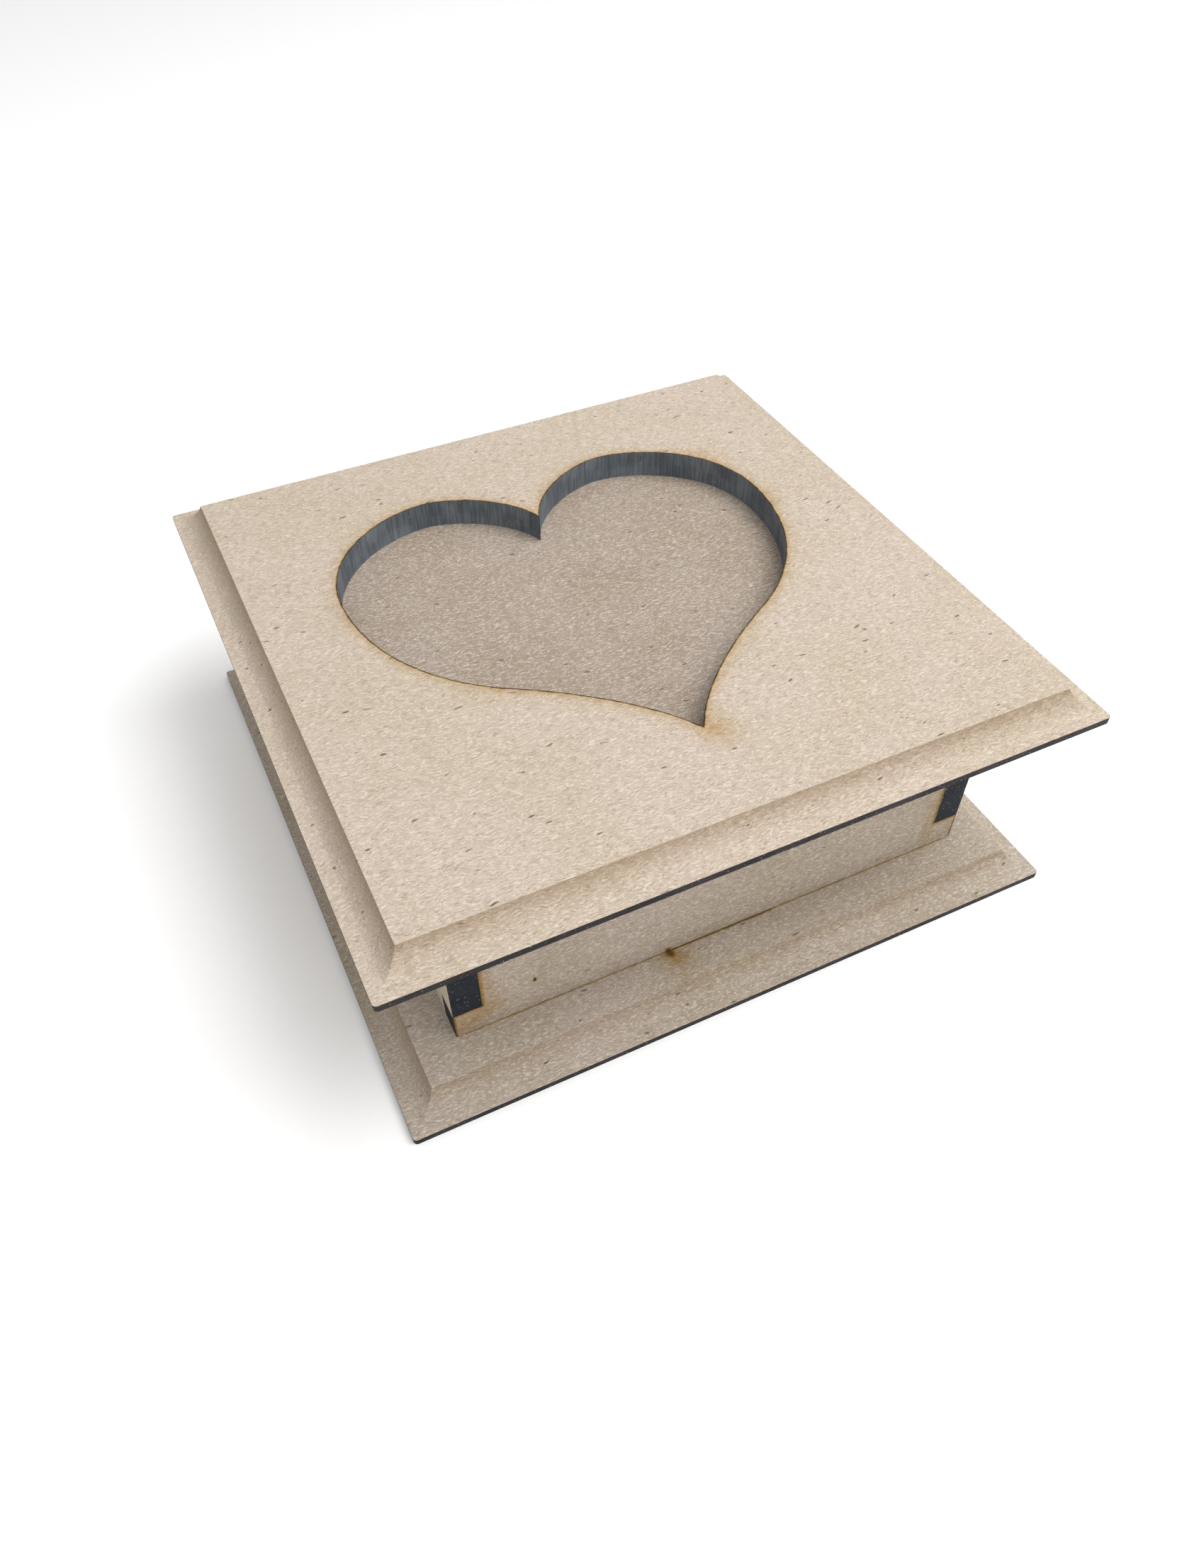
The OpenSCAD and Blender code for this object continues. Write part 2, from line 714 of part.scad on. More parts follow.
// The fly's shaft with its worm: the thread faces the wheel with a gap at rest.
module worm_shaft() {
    color("#a9adb2")
        on_back_wall()
            translate([cage_mid, worm_y, 0]) {
                translate([0, 0, bed_t + 0.1]) cylinder(r = worm_shaft_r, h = cage_top - bed_t - 0.3);
                translate([0, 0, governor_z - worm_l / 2])
                    rotate([0, 0, -360 * worm_l / 2 / worm_lead])
                        linear_extrude(height = worm_l, twist = -360 * worm_l / worm_lead,
                                       slices = 40, $fn = 12)
                            polygon(worm_section);
                translate([0, 0, collar_z]) cylinder(r = collar_r, h = 1.2);
            }
}

module fly() {
    color("#e4e2da")
        on_back_wall()
            translate([cage_mid, worm_y, fly_z])
                difference() {
                    union() {
                        cylinder(r = 0.9, h = fly_h);
                        translate([-fly_r, -0.15, 0]) cube([2 * fly_r, 0.3, fly_h]);
                    }
                    translate([0, 0, -eps]) cylinder(r = worm_shaft_r, h = fly_h + 2 * eps);
                }
}

// A strip on a cross pin: tipped in, its pad brakes the collar on the fly's shaft.
module stop_lever() {
    pad_y = worm_y - collar_r - pad_gap;
    strip_w = 3.4;
    color("#9aa0a6")
        on_back_wall()
            difference() {
                union() {
                    translate([cage_mid - strip_w / 2, lever_y - lever_t / 2, collar_z - 0.4])
                        cube([strip_w, lever_t, lever_l]);
                    translate([cage_mid - strip_w / 2, lever_y - lever_t / 2 - 0.001, collar_z])
                        cube([strip_w, pad_y - lever_y + lever_t / 2, 0.8]);
                    rod_x(cage_mid - strip_w / 2, lever_y, lever_pin_z, 1, strip_w);
                }
                rod_x(cage_mid - strip_w, lever_y, lever_pin_z, 0.5 + run_gap, 2 * strip_w);
            }
}

module stop_lever_pin() {
    color("#c8cacc")
        on_back_wall()
            rod_x(cage_out_x, lever_y, lever_pin_z, 0.5, cage_in_x - cage_out_x);
}

// ---------- every node ----------

base_board();
front_wall();
back_wall();
left_wall();
right_wall();
lid_board();
lid_locator();
bedplate();
movement_screws();
comb();
comb_screws();
barrel_drum();
crown_wheel();
mainspring();
barrel_bridge();
bridge_screws();
winding_arbor();
ratchet_wheel();
click();
click_stud();
click_spring();
winding_key();
music_cylinder();
cylinder_arbor();
drive_pinion();
cylinder_wheel();
governor_cage();
cage_screws();
governor_pinion();
worm_wheel();
worm_shaft();
fly();
stop_lever();
stop_lever_pin();
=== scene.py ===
from math import asin, cos, radians, sin

import bmesh
import bpy
from mathutils import Matrix, Vector
from mathutils.geometry import interpolate_bezier, intersect_point_line
from mathutils.kdtree import KDTree


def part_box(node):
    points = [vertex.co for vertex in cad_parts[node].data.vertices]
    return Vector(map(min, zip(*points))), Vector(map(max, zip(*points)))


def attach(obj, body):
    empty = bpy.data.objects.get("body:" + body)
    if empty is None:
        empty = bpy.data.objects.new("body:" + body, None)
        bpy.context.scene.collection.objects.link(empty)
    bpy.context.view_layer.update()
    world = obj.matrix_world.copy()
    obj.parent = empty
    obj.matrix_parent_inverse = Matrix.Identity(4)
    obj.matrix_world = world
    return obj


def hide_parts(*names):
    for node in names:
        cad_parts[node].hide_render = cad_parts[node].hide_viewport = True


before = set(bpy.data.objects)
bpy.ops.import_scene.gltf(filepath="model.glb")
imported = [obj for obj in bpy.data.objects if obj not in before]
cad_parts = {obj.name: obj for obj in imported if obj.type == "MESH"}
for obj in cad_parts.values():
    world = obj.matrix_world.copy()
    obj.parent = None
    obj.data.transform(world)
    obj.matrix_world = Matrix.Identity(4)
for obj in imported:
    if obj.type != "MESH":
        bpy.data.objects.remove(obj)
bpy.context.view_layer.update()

mm = 0.001

# ---------------------------------------------------------------- view
# A hand-held camera close over the front left corner, tipped about a degree.
aim = Vector((-12.1, -23.0, 0)) * mm
distance = 260.3 * mm
turned = radians(-24.88)
raised = radians(50.17)
tipped = radians(-0.92)
camera_data = bpy.data.cameras.new("camera")
camera_data.sensor_width = 36
camera_data.lens = 25.51
camera_data.shift_x = -0.0034
camera_data.shift_y = 0.0408
camera_data.clip_start = 0.01
camera = bpy.data.objects.new("camera", camera_data)
bpy.context.collection.objects.link(camera)
camera.matrix_world = (
    Matrix.Translation(aim)
    @ Matrix.Rotation(turned, 4, "Z")
    @ Matrix.Rotation(radians(90) - raised, 4, "X")
    @ Matrix.Translation((0, 0, distance))
    @ Matrix.Rotation(tipped, 4, "Z")
)
bpy.context.scene.camera = camera
bpy.context.scene.view_settings.view_transform = "Standard"

# ---------------------------------------------------------------- light
# A bright white room: light from all round, a broad window to the right of the box, and a
# white card in front of it that fills the shade under the lid.
for name, position, width, watts in (
    ("window", (0.48, -0.20, 0.93), 0.8, 9.8),
    ("card", (0.10, -0.75, 0.55), 0.7, 1.7),
):
    lamp_data = bpy.data.lights.new(name, "AREA")
    lamp_data.size = width
    lamp_data.energy = watts
    lamp = bpy.data.objects.new(name, lamp_data)
    bpy.context.collection.objects.link(lamp)
    lamp.location = position
    lamp.rotation_euler = (lamp.location * -1).to_track_quat("-Z", "Y").to_euler()

room = bpy.data.worlds.new("white_room")
room.use_nodes = True
walls_light = room.node_tree.nodes["Background"]
walls_light.inputs["Color"].default_value = (1, 1, 1, 1)
walls_light.inputs["Strength"].default_value = 0.68
bpy.context.scene.world = room


# ---------------------------------------------------------------- table
# The surface the box stands on: matt white laminate, so brightly lit that it shows only
# the box's soft shadow.
def linear(code):
    """A colour written as an sRGB hex code, in the linear light that shaders work in."""
    parts = [int(code[i:i + 2], 16) / 255 for i in (1, 3, 5)]
    return [p / 12.92 if p < 0.04045 else ((p + 0.055) / 1.055) ** 2.4 for p in parts] + [1]


def finish(name, roughness, specular=0.5, metallic=0.0):
    """A new finish with the values that are the same all over it."""
    material = bpy.data.materials.new(name)
    material.use_nodes = True
    shader = material.node_tree.nodes["Principled BSDF"]
    shader.inputs["Roughness"].default_value = roughness
    shader.inputs["Specular IOR Level"].default_value = specular
    shader.inputs["Metallic"].default_value = metallic
    return material


def add(material, kind, inputs, **settings):
    """Adds a node with its settings, its inputs set or linked, and gives its outputs."""
    tree = material.node_tree
    node = tree.nodes.new(kind) if kind != "shader" else tree.nodes["Principled BSDF"]
    for name, value in settings.items():
        setattr(node, name, value)
    for name, value in inputs.items():
        if isinstance(value, bpy.types.NodeSocket):
            tree.links.new(value, node.inputs[name])
        else:
            node.inputs[name].default_value = linear(value) if isinstance(value, str) else value
    return node.outputs


# Settings that many nodes share.
smooth = {"interpolation_type": "SMOOTHSTEP"}
rgb = {"data_type": "RGBA"}
multiply = {"data_type": "RGBA", "blend_type": "MULTIPLY"}

laminate = finish("white_laminate", 0.55, 0.3)
place = add(laminate, "ShaderNodeTexCoord", {})["Object"]
grit = add(laminate, "ShaderNodeTexNoise", {"Vector": place, "Scale": 600, "Detail": 2})[0]
tone = add(laminate, "ShaderNodeMix", {0: grit, 6: "#f9f9f9", 7: "#fdfdfd"}, **rgb)[2]
add(laminate, "shader", {"Base Color": tone})
table_bm = bmesh.new()
bmesh.ops.create_grid(table_bm, x_segments=4, y_segments=4, size=4)
table_mesh = bpy.data.meshes.new("table")
table_bm.to_mesh(table_mesh)
table_mesh.materials.append(laminate)
table = bpy.data.objects.new("table", table_mesh)
bpy.context.collection.objects.link(table)


# ---------------------------------------------------------------- lid board
# The top of the box: one square of MDF with a cove routed round its upper edge and a
# heart lasered right through it. It is glued to the panel that drops into the box.
def raw_mdf(name, tones, start, burns_and_shadows=()):
    """Raw fibreboard, unsanded and unsealed: a warm grey felt of pale and dark wood fibres
    1 to 1.6 mm long and 0.25 mm wide, in clouds 2 to 3 cm across, with a dark fleck here
    and there, and painted shade darkening steep faces that look upwards. Each burn given
    browns it: a start, an end, how far the heat reached, and how deep; the long joint
    lines among them are painted contact shadow, browned the same way."""
    board = finish(name, 0.88, 0.2)
    place = add(board, "ShaderNodeTexCoord", {})["Object"]
    felt = add(board, "ShaderNodeMapping", {
        "Vector": place, "Location": start, "Scale": (1000, 1000, 1000)})[0]
    stir = add(board, "ShaderNodeTexNoise", {"Vector": felt, "Scale": 0.3, "Detail": 1})["Color"]
    curl = add(board, "ShaderNodeVectorMath", {
        0: stir, 1: (1.8, 1.8, 1.8), 2: felt}, operation="MULTIPLY_ADD")[0]
    strands = []
    for turn, length, width in ((8, 1.6, 0.27), (-30, 1.2, 0.23), (50, 1.0, 0.25)):
        laid = add(board, "ShaderNodeMapping", {
            "Vector": curl, "Rotation": (0, 0, radians(turn)),
            "Scale": (1 / length, 1 / width, 1 / width)})[0]
        strands.append(add(board, "ShaderNodeTexNoise", {
            "Vector": laid, "Scale": 1, "Detail": 1.5})[0])
    first, second, third = strands
    crossing = add(board, "ShaderNodeMath", {0: first, 1: second}, operation="MAXIMUM")[0]
    crossing = add(board, "ShaderNodeMath", {0: crossing, 1: third}, operation="MAXIMUM")[0]
    sunk = add(board, "ShaderNodeMath", {0: first, 1: second}, operation="MINIMUM")[0]
    cloud = add(board, "ShaderNodeTexNoise", {"Vector": felt, "Scale": 1 / 24, "Detail": 3})[0]
    mottle = add(board, "ShaderNodeTexNoise", {"Vector": felt, "Scale": 1 / 2.2, "Detail": 3})[0]
    flecks = add(board, "ShaderNodeTexVoronoi", {"Vector": laid, "Scale": 1 / 10})["Distance"]

    # The felt: its clouds, its mottle, the fibres on top, the sunk ones, and the flecks.
    share = add(board, "ShaderNodeMapRange", {
        "Value": cloud, "From Min": 0.35, "From Max": 0.65}, **smooth)[0]
    colour = add(board, "ShaderNodeMix", {0: share, 6: tones[0], 7: tones[1]}, **rgb)[2]
    for pattern, start_at, full_at, most, tint in (
        (mottle, 0.35, 0.70, 0.14, "#83766a"),
        (crossing, 0.59, 0.68, 0.39, "#e6ded3"),
        (sunk, 0.39, 0.29, 0.45, "#6f6152"),
        (flecks, 0.10, 0.05, 0.80, "#4a3d34"),
    ):
        share = add(board, "ShaderNodeMapRange", {
            "Value": pattern, "From Min": start_at, "From Max": full_at, "To Max": most,
        }, **smooth)[0]
        colour = add(board, "ShaderNodeMix", {0: share, 6: colour, 7: tint}, **rgb)[2]

    # Painted shade: steep faces that look upwards, which are the routed coves, are darkened.
    lie = add(board, "ShaderNodeNewGeometry", {})["Normal"]
    lie = add(board, "ShaderNodeSeparateXYZ", {"Vector": lie})["Z"]
    share = add(board, "ShaderNodeMapRange", {"Value": lie, "From Min": 0.98, "From Max": 0.35})[0]
    upward = add(board, "ShaderNodeMath", {0: lie, 1: 0.2}, operation="GREATER_THAN")[0]
    share = add(board, "ShaderNodeMath", {0: share, 1: upward}, operation="MULTIPLY")[0]
    colour = add(board, "ShaderNodeMix", {0: share, 6: colour, 7: "#d8cdbf"}, **multiply)[2]

    # Heat: amber where it only reached, brown nearer, soot at the cut. A ragged front.
    rag = add(board, "ShaderNodeMapRange", {
        "Value": mottle, "From Min": 0.3, "From Max": 0.7, "To Min": 0.75, "To Max": 1.3})[0]
    edge = add(board, "ShaderNodeAttribute", {}, attribute_name="burn")["Fac"]
    heat_and_shadow = add(board, "ShaderNodeMath", {0: edge, 1: rag}, operation="MULTIPLY")[0]
    # Long joint lines among these are painted contact shadow, browned like a burn.
    for begin, end, reach, depth in burns_and_shadows:
        run = Vector(end) - Vector(begin)
        away = add(board, "ShaderNodeVectorMath", {0: place, 1: begin}, operation="SUBTRACT")[0]
        along = add(board, "ShaderNodeVectorMath", {
            0: away, 1: run / run.length_squared}, operation="DOT_PRODUCT")["Value"]
        along = add(board, "ShaderNodeClamp", {"Value": along})[0]
        away = add(board, "ShaderNodeVectorMath", {
            0: along, 1: -run, 2: away}, operation="MULTIPLY_ADD")[0]
        far = add(board, "ShaderNodeVectorMath", {0: away}, operation="LENGTH")["Value"]
        far = add(board, "ShaderNodeMath", {0: far, 1: rag}, operation="DIVIDE")[0]
        scorch_and_shadow = add(board, "ShaderNodeMapRange", {
            "Value": far, "From Max": reach, "To Min": depth, "To Max": 0}, **smooth)[0]
        heat_and_shadow = add(board, "ShaderNodeMath", {0: heat_and_shadow, 1: scorch_and_shadow}, operation="MAXIMUM")[0]
    share = add(board, "ShaderNodeMapRange", {"Value": heat_and_shadow, "From Max": 0.5})[0]
    colour = add(board, "ShaderNodeMix", {0: share, 6: colour, 7: "#e0c588"}, **multiply)[2]
    share = add(board, "ShaderNodeMapRange", {
        "Value": heat_and_shadow, "From Min": 0.4, "From Max": 0.8, "To Max": 0.9}, **smooth)[0]
    colour = add(board, "ShaderNodeMix", {0: share, 6: colour, 7: "#50361f"}, **rgb)[2]
    share = add(board, "ShaderNodeMapRange", {
        "Value": heat_and_shadow, "From Min": 0.75, "From Max": 1}, **smooth)[0]
    colour = add(board, "ShaderNodeMix", {0: share, 6: colour, 7: "#211a1b"}, **rgb)[2]

    fuzz = add(board, "ShaderNodeBump", {
        "Strength": 0.5, "Distance": 0.15 * mm, "Height": crossing})[0]
    add(board, "shader", {"Base Color": colour, "Normal": fuzz})
    return board


def charred(name, dark, pale):
    """The laser's cut face: char from soot to slate, combed by the beam's pulses into lines
    down the cut, 0.4 mm apart, paler in soft patches that are a painted sheen, with stray
    bright fibres."""
    char = finish(name, 0.7, 0.22)
    place = add(char, "ShaderNodeTexCoord", {})["Object"]
    combed = add(char, "ShaderNodeMapping", {
        "Vector": place, "Scale": (1000 / 0.4, 1000 / 0.4, 1000 / 8)})[0]
    comb = add(char, "ShaderNodeTexNoise", {"Vector": combed, "Scale": 1, "Detail": 2})[0]
    painted_sheen_patches = add(char, "ShaderNodeTexNoise", {
        "Vector": place, "Scale": 1000 / 7, "Detail": 3})[0]
    stray = add(char, "ShaderNodeTexNoise", {
        "Vector": place, "Scale": 1000 / 0.45, "Detail": 1})[0]
    # Painted sheen: the char is lightened in soft patches.
    share = add(char, "ShaderNodeMapRange", {
        "Value": painted_sheen_patches, "From Min": 0.35, "From Max": 0.65}, **smooth)[0]
    colour = add(char, "ShaderNodeMix", {0: share, 6: dark, 7: pale}, **rgb)[2]
    share = add(char, "ShaderNodeMapRange", {
        "Value": comb, "From Min": 0.4, "From Max": 0.65, "To Max": 0.38}, **smooth)[0]
    colour = add(char, "ShaderNodeMix", {0: share, 6: colour, 7: "#1a191c"}, **rgb)[2]
    share = add(char, "ShaderNodeMapRange", {
        "Value": stray, "From Min": 0.66, "From Max": 0.76, "To Max": 0.55}, **smooth)[0]
    colour = add(char, "ShaderNodeMix", {0: share, 6: colour, 7: "#8d867f"}, **rgb)[2]
    ribs = add(char, "ShaderNodeBump", {
        "Strength": 0.5, "Distance": 0.08 * mm, "Height": comb})[0]
    add(char, "shader", {"Base Color": colour, "Normal": ribs})
    return char


# Edges that turn by more than this are corners; the rest are shaded smooth.
sharp = radians(33)


def make_piece(name, bm, materials, node, body, edge):
    """The piece that stands for a CAD node, its sharp edges broken by edge millimetres."""
    mesh = bpy.data.meshes.new(name)
    for face in bm.faces:
        face.smooth = True
    bm.to_mesh(mesh)
    bm.free()
    mesh.set_sharp_from_angle(angle=sharp)
    for material in materials:
        mesh.materials.append(material)
    piece = bpy.data.objects.new(name, mesh)
    bpy.context.collection.objects.link(piece)
    broken = piece.modifiers.new("broken_edges", "BEVEL")
    broken.width = edge * mm
    broken.segments = 2
    broken.limit_method = "ANGLE"
    broken.angle_limit = sharp
    broken.harden_normals = True
    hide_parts(node)
    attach(piece, body)


lid_low, lid_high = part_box("lid_board")
cove_w = 6.6 * mm
cove_h = 4.6 * mm
cove_r = (cove_w ** 2 + cove_h ** 2) / (2 * cove_h)
cove_steps = 14
rim_z = lid_high.z - cove_h

# The blank, and the cove raised from its rim in even steps round the cutter's circle.
lid = bmesh.new()
bmesh.ops.create_cube(lid, size=1)
bmesh.ops.scale(lid, verts=lid.verts, vec=(lid_high.x * 2, lid_high.y * 2, rim_z - lid_low.z))
bmesh.ops.translate(lid, verts=lid.verts, vec=(0, 0, (rim_z + lid_low.z) / 2))
corners = [edge for edge in lid.edges if abs(edge.verts[0].co.z - edge.verts[1].co.z) > mm]
field = [max(lid.faces, key=lambda face: face.calc_center_median().z)]
turns = [asin(cove_w / cove_r) * step / cove_steps for step in range(cove_steps + 1)]
for last, turn in zip(turns, turns[1:]):
    bmesh.ops.inset_region(
        lid, faces=field, use_even_offset=True,
        thickness=cove_r * (sin(turn) - sin(last)), depth=cove_r * (cos(last) - cos(turn)),
    )
bmesh.ops.bevel(
    lid, geom=corners, offset=0.8 * mm, segments=4, profile=0.5, affect="EDGES", material=-1)
field = max(lid.faces, key=lambda face: face.calc_center_median().z)
under = min(lid.faces, key=lambda face: face.calc_center_median().z)

# The heart: its right side as knots and handles in millimetres, mirrored to the left.
heart_curves = [
    ((0, 29.5), (3.5, 40), (16, 46), (22, 46)),
    ((22, 46), (33, 46), (50, 36.5), (50, 18)),
    ((50, 18), (50, -8), (31, -19), (28.5, -20.5)),
    ((28.5, -20.5), (26, -22), (7.5, -33), (0, -46.5)),
]
heart = []
for curve in heart_curves:
    heart += interpolate_bezier(*[Vector((x, y, 0)) * mm for x, y in curve], 25)[:-1]
heart += [Vector((0, -46.5, 0)) * mm] + [Vector((-p.x, p.y, 0)) for p in reversed(heart[1:])]

field_edges = list(field.edges)
under_edges = list(under.edges)
bmesh.ops.delete(lid, geom=[field, under], context="FACES_ONLY")
knots = [lid.verts.new((p.x, p.y, lid_high.z)) for p in heart]
heart_edges = [lid.edges.new((knots[i - 1], knots[i])) for i in range(len(knots))]
cut = bmesh.ops.extrude_edge_only(lid, edges=heart_edges)["geom"]
foot = {item for item in cut if isinstance(item, bmesh.types.BMVert)}
foot_edges = [
    item for item in cut if isinstance(item, bmesh.types.BMEdge) and foot.issuperset(item.verts)
]
bmesh.ops.translate(lid, verts=list(foot), vec=(0, 0, lid_low.z - lid_high.z))
filled = bmesh.ops.triangle_fill(lid, use_beauty=True, edges=field_edges + heart_edges)
field = [item for item in filled["geom"] if isinstance(item, bmesh.types.BMFace)]
bmesh.ops.triangle_fill(lid, use_beauty=True, edges=under_edges + foot_edges)

# Narrow bands beside the cut, then a 2 mm mesh round it, to carry how deep it is browned.
top_z = lid_high.z - 0.01 * mm
spacing = 2 * mm
for band in (0.10, 0.12, 0.22):
    bmesh.ops.inset_region(
        lid, faces=field, thickness=band * mm, use_boundary=True, use_even_offset=True)
for axis in ((1, 0, 0), (0, 1, 0)):
    for step in range(-28, 29):
        flat = [face for face in lid.faces if face.calc_center_median().z > top_z]
        geom = flat + list({edge for face in flat for edge in face.edges})
        geom += list({vert for face in flat for vert in face.verts})
        bmesh.ops.bisect_plane(
            lid, geom=geom, plane_co=Vector(axis) * step * spacing, plane_no=axis, dist=1e-6)
bmesh.ops.recalc_face_normals(lid, faces=lid.faces)

# Deepest at the cut and fading over 4 mm, deeper where the beam slowed or started.
nearest = KDTree(len(heart))
for i, point in enumerate(heart):
    nearest.insert(point, i)
nearest.balance()
# Millimetres from the cut and how deep there; then spots, how far they reach, how deep.
fade = [(0, 1.0), (0.10, 0.92), (0.22, 0.60), (0.44, 0.26), (1.4, 0.09), (3.6, 0.0), (1000, 0.0)]
slow_spots = [
    ((2.2, -48.3), 6.5, 0.34), ((44, 35), 11.0, 0.16), ((51, 14), 7.0, 0.10),
    ((-30, -19), 12.0, 0.07),
]
burn = lid.verts.layers.float.new("burn")
for vert in lid.verts:
    if vert.co.z < top_z:
        continue
    point = Vector((vert.co.x, vert.co.y, 0))
    i = nearest.find(point)[1]
    far = 1000
    for a, b in ((heart[i - 1], heart[i]), (heart[i], heart[(i + 1) % len(heart)])):
        share = min(max(intersect_point_line(point, a, b)[1], 0), 1)
        far = min(far, (a.lerp(b, share) - point).length / mm)
    for (d0, h0), (d1, h1) in zip(fade, fade[1:]):
        if d0 <= far <= d1:
            vert[burn] = h0 + (h1 - h0) * (far - d0) / (d1 - d0)
    for spot, reach, depth in slow_spots:
        gap = (Vector((*spot, 0)) - point / mm).length / reach
        vert[burn] += depth * max(0, 1 - gap) ** 1.5

# The faces the laser cut stand upright: the heart's, all within 60 mm, and the rim's.
for face in lid.faces:
    if abs(face.normal.z) < 0.05:
        face.material_index = 2 if face.calc_center_median().xy.length < 60 * mm else 1

lid_mdf = raw_mdf("raw_mdf_lid", ("#b7a899", "#b3a592"), (3.1, 1.7, 0.4))
rim_char = charred("laser_charred_rim", "#1d171b", "#2d272a")
heart_char = charred("laser_charred_heart", "#5b6269", "#6f767c")
make_piece("coved_lid", lid, [lid_mdf, rim_char, heart_char], "lid_board", "lid", 0.06)


# ---------------------------------------------------------------- locating panel
# A plain square of the same board, glued under the lid. It drops into the box to hold the
# lid square, and it is the floor of the heart: a greyer sheet, dusted with soot.
def merged(node):
    """The CAD node's shape as one mesh: its corners joined up and its flat faces whole."""
    bm = bmesh.new()
    bm.from_mesh(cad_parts[node].data)
    bmesh.ops.remove_doubles(bm, verts=bm.verts, dist=2e-6)
    bmesh.ops.dissolve_limit(bm, angle_limit=radians(0.5), verts=bm.verts, edges=bm.edges)
    return bm


def cut_from_sheet(node, thickness_axis):
    """A board lasered out of a sheet: char on every face that stands square to the sheet."""
    bm = merged(node)
    for face in bm.faces:
        face.material_index = 1 if abs(face.normal[thickness_axis]) < 0.05 else 0
    return bm


panel_mdf = raw_mdf("raw_mdf_panel", ("#998b7e", "#938474"), (41.3, 7.9, 2.2))
panel = cut_from_sheet("lid_locator", 2)
make_piece("locating_panel", panel, [panel_mdf, rim_char], "lid_locator", "lid", 0.12)

# ---------------------------------------------------------------- base board
# The same coved square lying flat under the box, with four slots lasered through it for
# the walls' tabs; the beam started at the left end of the front slot and burnt the board.
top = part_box("base_board")[1].z
wall_low, wall_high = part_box("front_wall")
front_y = wall_low.y
left_x = -12.5 * mm
base_burns_and_shadows = [
    ((left_x, front_y, top), (-left_x, front_y, top), 0.7 * mm, 0.85),
    ((left_x, front_y, top), (left_x + 0.3 * mm, front_y - 0.9 * mm, top), 2.4 * mm, 0.80),
    ((left_x, front_y, top), (left_x + 0.9 * mm, front_y - 2.6 * mm, top), 4.4 * mm, 0.46),
    ((left_x, front_y, top), (left_x + 1.5 * mm, front_y - 3.0 * mm, top), 7.0 * mm, 0.20),
    # Painted contact shadow: a faint brown line along the whole foot of the front wall.
    ((-58 * mm, front_y, top), (58 * mm, front_y, top), 0.4 * mm, 0.55),
]
# The base's board is toned darker than the lid's: painted shade under the lid's overhang.
base_mdf = raw_mdf("raw_mdf_base", ("#a89c90", "#a19584"), (17.7, 23.1, 5.5), base_burns_and_shadows)
bottom = cut_from_sheet("base_board", 2)
make_piece("coved_base", bottom, [base_mdf, rim_char], "base_board", "case", 0.06)

# ---------------------------------------------------------------- walls
# Four lasered walls, their fingers glued at the corners and a tab under each in the base.
# The fingers' ends are navy-black char, and the heat has browned the board beside them.
finger_char = charred("laser_charred_finger", "#10151c", "#1c232b")
end_x = wall_high.x
notch_x = end_x - 6.2 * mm
notch_z = top + 7.4 * mm
notch_top = wall_high.z - 7.4 * mm
front_burns_and_shadows = []
for side in (-1, 1):
    inner, outer = side * notch_x, side * end_x
    front_burns_and_shadows += [
        ((inner, front_y, notch_z), (inner, front_y, notch_top), 1.6 * mm, 0.58),
        ((inner, front_y, notch_z), (outer, front_y, notch_z), 1.5 * mm, 0.52),
        ((outer, front_y, top), (outer, front_y, notch_z), 0.9 * mm, 0.75),
    ]

# Wide faint heat round both fingers, a dark spot at the slot's end, a painted contact shadow
# along the joint with the base, and a knot of bark near the left end.
corner = Vector((notch_x, front_y, notch_z))
low_left = Vector((-notch_x, front_y, notch_z))
front_burns_and_shadows += [
    (low_left + Vector((1.2, 0, -1.2)) * mm, (-end_x, front_y, notch_z - 5 * mm), 5.5 * mm, 0.34),
    (low_left + Vector((2, 0, 0)) * mm, low_left + Vector((0, 0, 14)) * mm, 4.5 * mm, 0.20),
    (corner + Vector((-1, 0, -3)) * mm, corner + Vector((0, 0, 14)) * mm, 4.5 * mm, 0.20),
    ((left_x, front_y, top), (left_x, front_y, top + 0.4 * mm), 1.6 * mm, 0.80),
    # Painted contact shadow along the wall's foot, where it meets the base.
    ((-end_x, front_y, top), (end_x, front_y, top), 0.4 * mm, 0.55),
    ((-42.5 * mm, front_y, 15.2 * mm), (-42.5 * mm, front_y, 15.9 * mm), 0.65 * mm, 0.95),
]
# The front wall's board is toned darker than the other walls': painted shade from the lid's
# overhang.
front_mdf = raw_mdf("raw_mdf_front_wall", ("#a39587", "#9d907e"), (9.4, 2.1, 31.7), front_burns_and_shadows)
wall_mdf = raw_mdf("raw_mdf_wall", ("#b9ac9c", "#b1a58f"), (27.2, 5.3, 11.8))
for side, thickness_axis, mdf in (
    ("front", 1, front_mdf), ("back", 1, wall_mdf), ("left", 0, wall_mdf), ("right", 0, wall_mdf),
):
    node = side + "_wall"
    board = cut_from_sheet(node, thickness_axis)
    make_piece(node + "_board", board, [mdf, finger_char], node, "case", 0.06)


